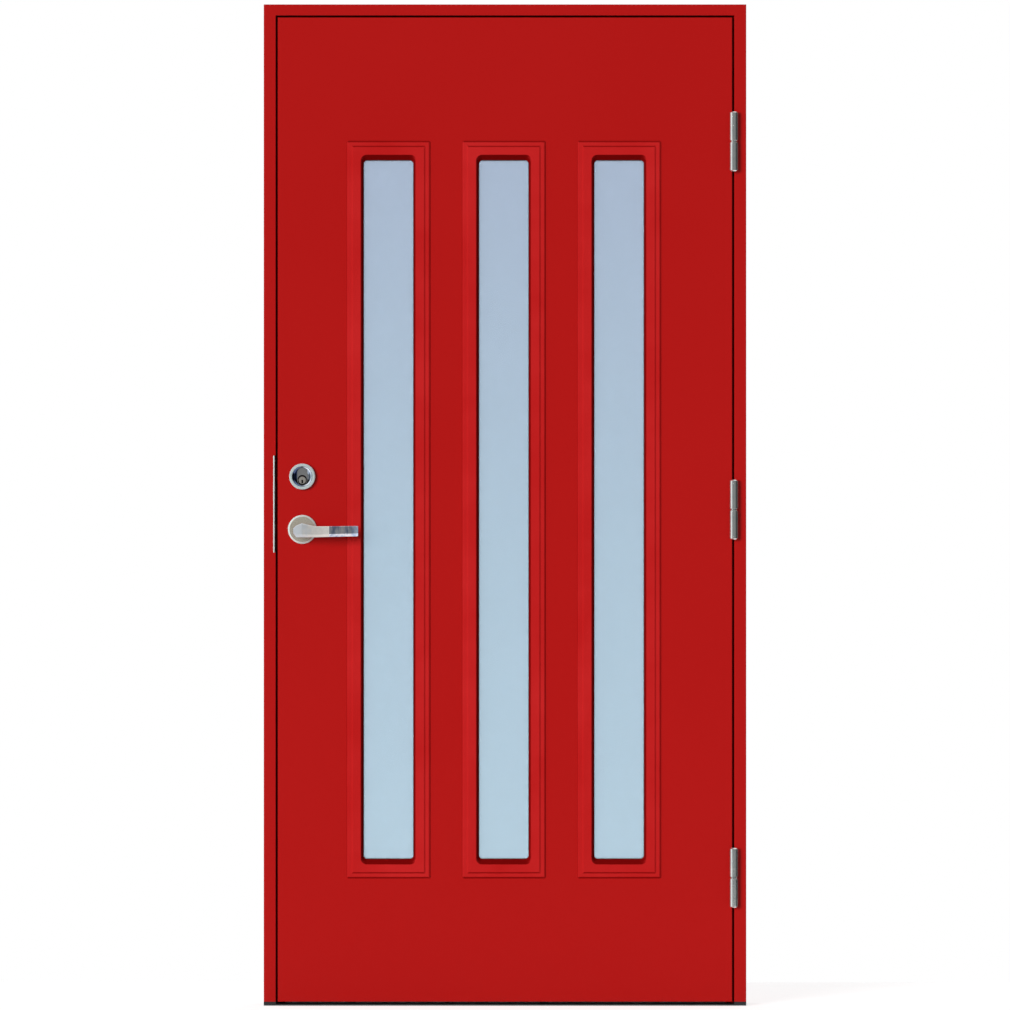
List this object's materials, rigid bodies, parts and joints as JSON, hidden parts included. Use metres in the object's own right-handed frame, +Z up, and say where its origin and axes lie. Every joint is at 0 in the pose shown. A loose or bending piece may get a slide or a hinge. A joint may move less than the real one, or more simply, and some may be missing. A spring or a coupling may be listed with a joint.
{
  "type": "exterior door",
  "caption": "Outward-opening flat exterior door in its frame, with tall narrow windows in raised stepped mouldings, a lever handle, a ringed lock cylinder and lift-off hinges.",
  "frame": {"origin": "middle of the sill plate's underside", "axes": "+Z up, +X towards the hinges as seen from outside, -Y out of the outer face"},
  "size_m": [1, 0.182, 2.075],
  "materials": {
    "red_paint": "smooth semi-matt red paint",
    "moulding_paint": "fine-grained moulded frame painted red",
    "black_plastic": "matt black",
    "sill": "black anodised",
    "oiled_hardwood": "oiled hardwood",
    "rail_metal": "natural anodised, fine lines along its length",
    "seal_rubber": "matt black",
    "insulation": "rigid foam",
    "satin_glass": "satin, obscured",
    "spacer_metal": "matt grey",
    "hinge_steel": "zinc-plated, satin",
    "lock_steel": "satin stainless",
    "satin_chrome": "satin chrome, tip of the lever polished",
    "polished_chrome": "polished chrome"
  },
  "bodies": {
    "frame": {"head": "red_paint", "lock_jamb": "red_paint", "hinge_jamb": "red_paint", "head_stop": "red_paint", "side_stops": "red_paint", "jamb_shoes": "black_plastic", "sill_plate": "sill", "threshold": "oiled_hardwood", "threshold_rail": "rail_metal", "weather_seal": "seal_rubber", "strike_plate": "lock_steel", "bottom_hinge_frame_half": "hinge_steel", "middle_hinge_frame_half": "hinge_steel", "top_hinge_frame_half": "hinge_steel"},
    "leaf": {"leaf_outer_skin": "red_paint", "leaf_inner_skin": "red_paint", "leaf_lock_stile": "red_paint", "leaf_hinge_stile": "red_paint", "leaf_rails": "red_paint", "leaf_core": "insulation", "glazing_spacers": "spacer_metal", "left_outer_moulding": "moulding_paint", "middle_outer_moulding": "moulding_paint", "right_outer_moulding": "moulding_paint", "left_inner_moulding": "moulding_paint", "middle_inner_moulding": "moulding_paint", "right_inner_moulding": "moulding_paint", "left_glass": "satin_glass", "middle_glass": "satin_glass", "right_glass": "satin_glass", "bottom_hinge_leaf_half": "hinge_steel", "middle_hinge_leaf_half": "hinge_steel", "top_hinge_leaf_half": "hinge_steel", "mortise_lock": "lock_steel", "lock_bolts": "lock_steel", "outside_rose": "satin_chrome", "inside_rose": "satin_chrome", "cylinder_ring": "satin_chrome", "lock_barrel": "polished_chrome", "turn_rose": "satin_chrome", "thumb_turn": "satin_chrome"},
    "lever_handle": {"outside_lever": "satin_chrome", "inside_lever": "satin_chrome", "spindle": "lock_steel"},
    "key_plug": {"key_plug": "polished_chrome"}
  },
  "joints": [
    {"name": "leaf_swing", "type": "hinge", "parent": "frame", "child": "leaf", "pos_m": [0.474, -0.0675, 1.028], "axis": [0, 0, 1], "range_deg": [0, 110]},
    {"name": "lever_turn", "type": "hinge", "parent": "leaf", "child": "lever_handle", "pos_m": [-0.42, -0.0265, 0.987], "axis": [0, 1, 0], "range_deg": [0, 45], "stiffness_Nm_per_rad": 1, "springref_deg": -28.65},
    {"name": "key_turn", "type": "hinge", "parent": "leaf", "child": "key_plug", "pos_m": [-0.42, -0.0575, 1.08875], "axis": [0, 1, 0], "range_deg": [0, 90]}
  ]
}
